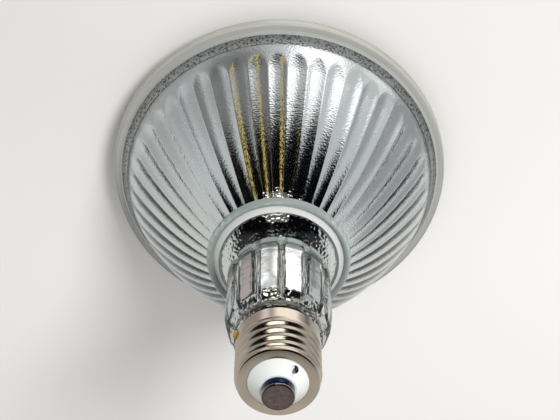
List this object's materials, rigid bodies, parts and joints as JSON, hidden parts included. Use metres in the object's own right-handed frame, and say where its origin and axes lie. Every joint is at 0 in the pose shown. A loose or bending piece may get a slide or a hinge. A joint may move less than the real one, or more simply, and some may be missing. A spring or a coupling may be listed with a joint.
{
  "type": "metal halide flood lamp",
  "caption": "Pressed-glass reflector flood lamp: a clear lens, a fluted mirrored bowl round a ceramic arc tube in a quartz capsule, a lobed glass neck and a screw cap.",
  "frame": {"origin": "centre of the lens's foot ring, on the plane that the lamp stands on", "axes": "+Z along the lamp's axis, from the lens to the cap's contact; the solder drop is towards +X"},
  "size_m": [0.1216, 0.1216, 0.1385],
  "materials": {
    "lens_glass": "clear, fire-polished",
    "sealing_compound": "translucent, smooth",
    "mirrored_glass": "clear pressed glass, aluminised on the inside",
    "quartz": "clear, polished",
    "alumina": "translucent, satin",
    "niobium": "drawn rod",
    "frit": "glassy",
    "tungsten": "drawn rod",
    "nickel_wire": "drawn wire",
    "molybdenum": "rolled foil",
    "sleeve_ceramic": "matte",
    "getter_metal": "matte",
    "shield_aluminium": "rolled sheet",
    "cement": "matte, cast",
    "nickel_plate": "bright nickel plate with a warm tint",
    "insulator_white": "glossy white",
    "contact_metal": "heat-tinted brown and blue",
    "solder": "flux-stained solder"
  },
  "bodies": {
    "root": {"front_lens": "lens_glass", "lens_seal": "sealing_compound", "reflector": "mirrored_glass", "capsule": "quartz", "arc_tube": "alumina", "feedthrough_front": "niobium", "feedthrough_rear": "niobium", "frit_front": "frit", "frit_rear": "frit", "electrode_front": "tungsten", "electrode_rear": "tungsten", "frame_wire": "nickel_wire", "short_lead": "nickel_wire", "frame_foil": "molybdenum", "short_foil": "molybdenum", "side_lead": "nickel_wire", "centre_lead": "nickel_wire", "side_sleeve": "sleeve_ceramic", "centre_sleeve": "sleeve_ceramic", "frame_sleeve": "sleeve_ceramic", "getter": "getter_metal", "heat_shield": "shield_aluminium", "capsule_cement": "cement", "basing_cement": "cement", "screw_shell": "nickel_plate", "cap_insulator": "insulator_white", "centre_contact": "contact_metal", "side_solder": "solder"}
  },
  "joints": []
}
